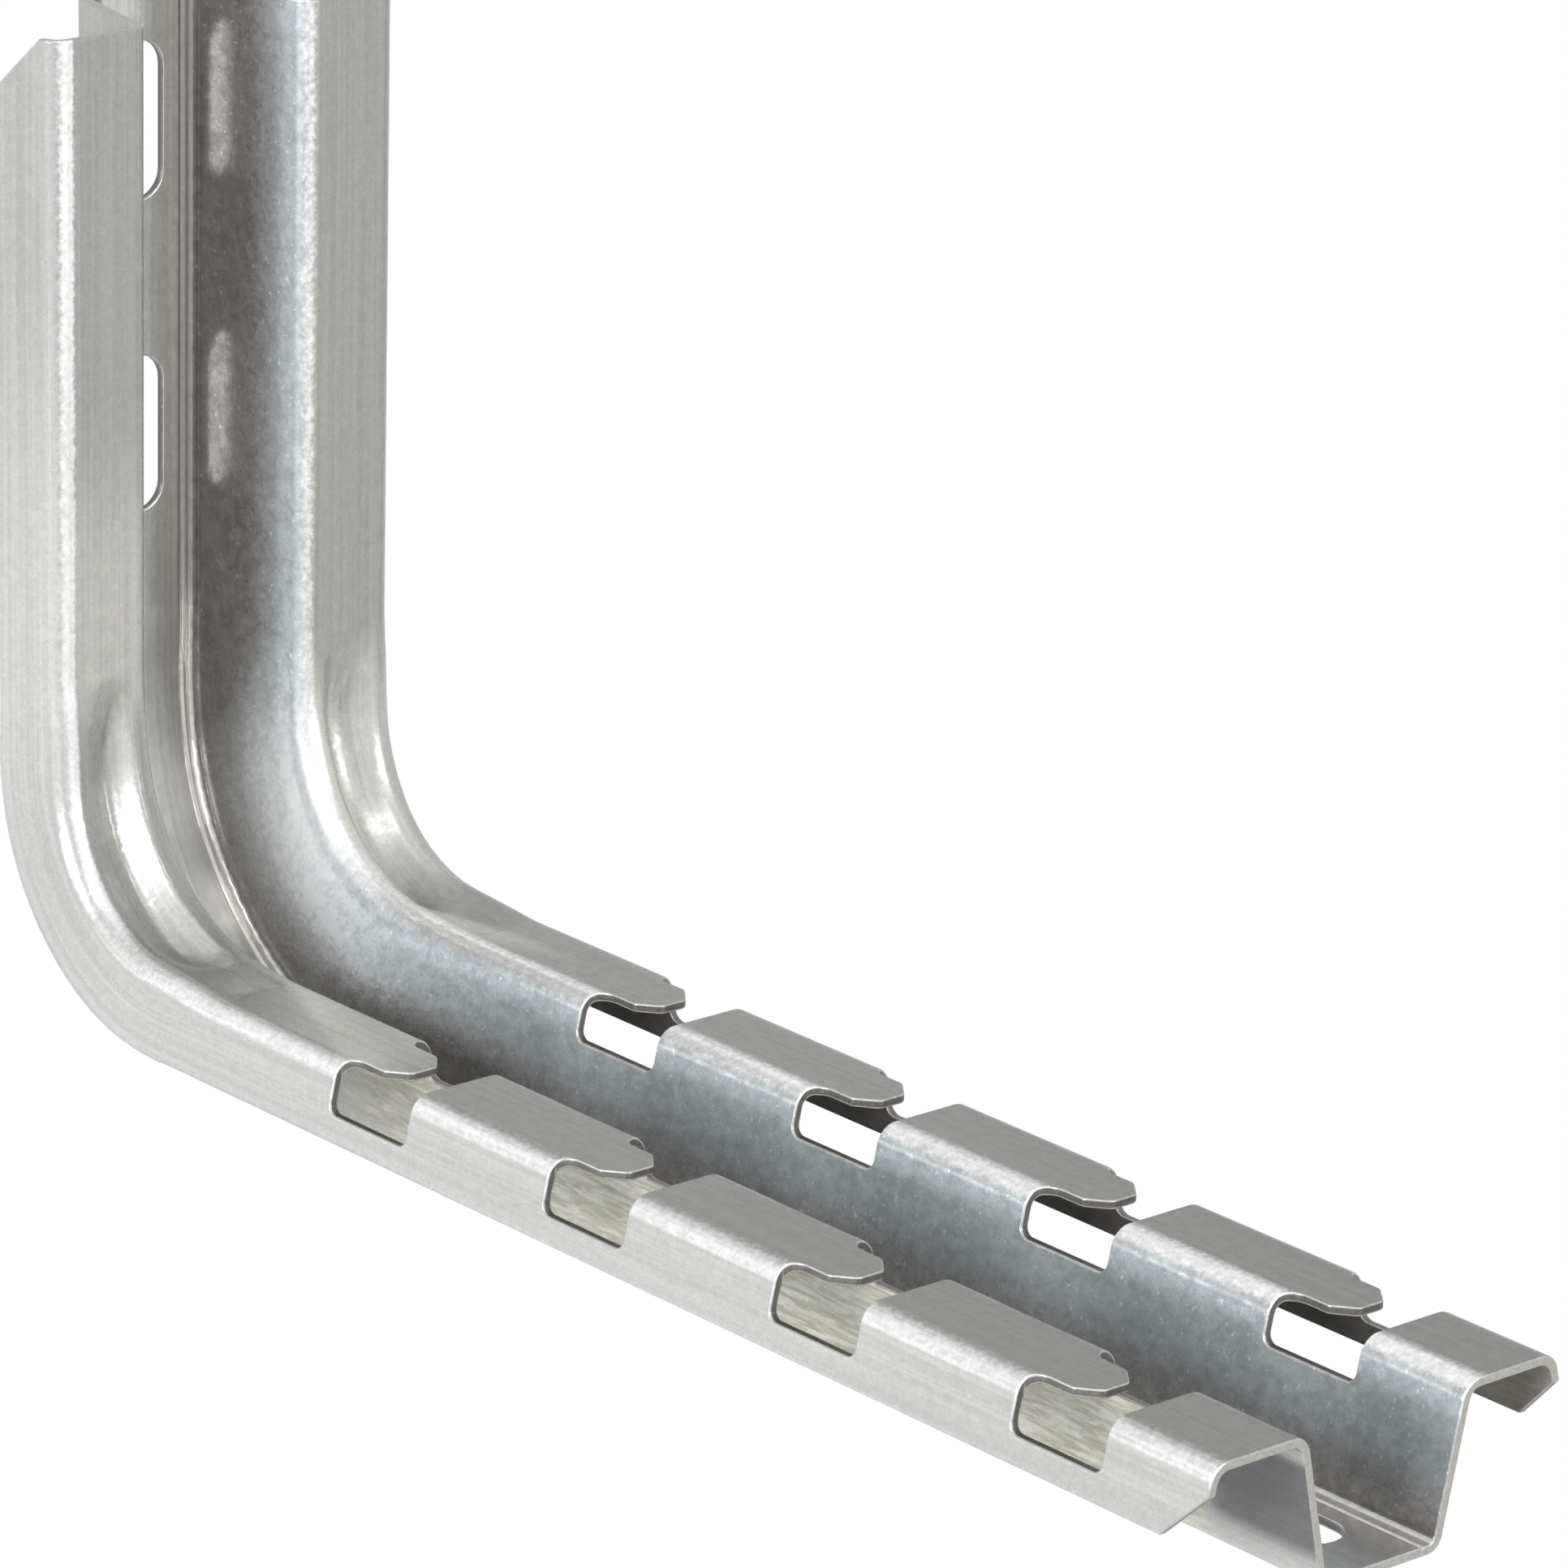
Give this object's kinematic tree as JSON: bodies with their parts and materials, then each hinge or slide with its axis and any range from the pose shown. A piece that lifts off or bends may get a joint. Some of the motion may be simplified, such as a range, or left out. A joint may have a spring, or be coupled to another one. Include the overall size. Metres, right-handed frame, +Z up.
{
  "type": "cantilever bracket",
  "caption": "L-shaped cantilever bracket folded from galvanised sheet: slotted upright leg, curved bend and a long notched arm with retaining tongues for a wire tray.",
  "frame": {"origin": "on the symmetry plane, where the plane of the leg's back (the wall) meets the plane of the arm's underside", "axes": "+X along the arm, away from the wall; +Z up the leg; +Y across the width, the symmetry direction"},
  "size_m": [0.2821, 0.069, 0.1641],
  "materials": {
    "galvanised_sheet": "hot-dip galvanised sheet, fine spangle, satin"
  },
  "bodies": {
    "root": {"bracket": "galvanised_sheet"}
  },
  "joints": []
}
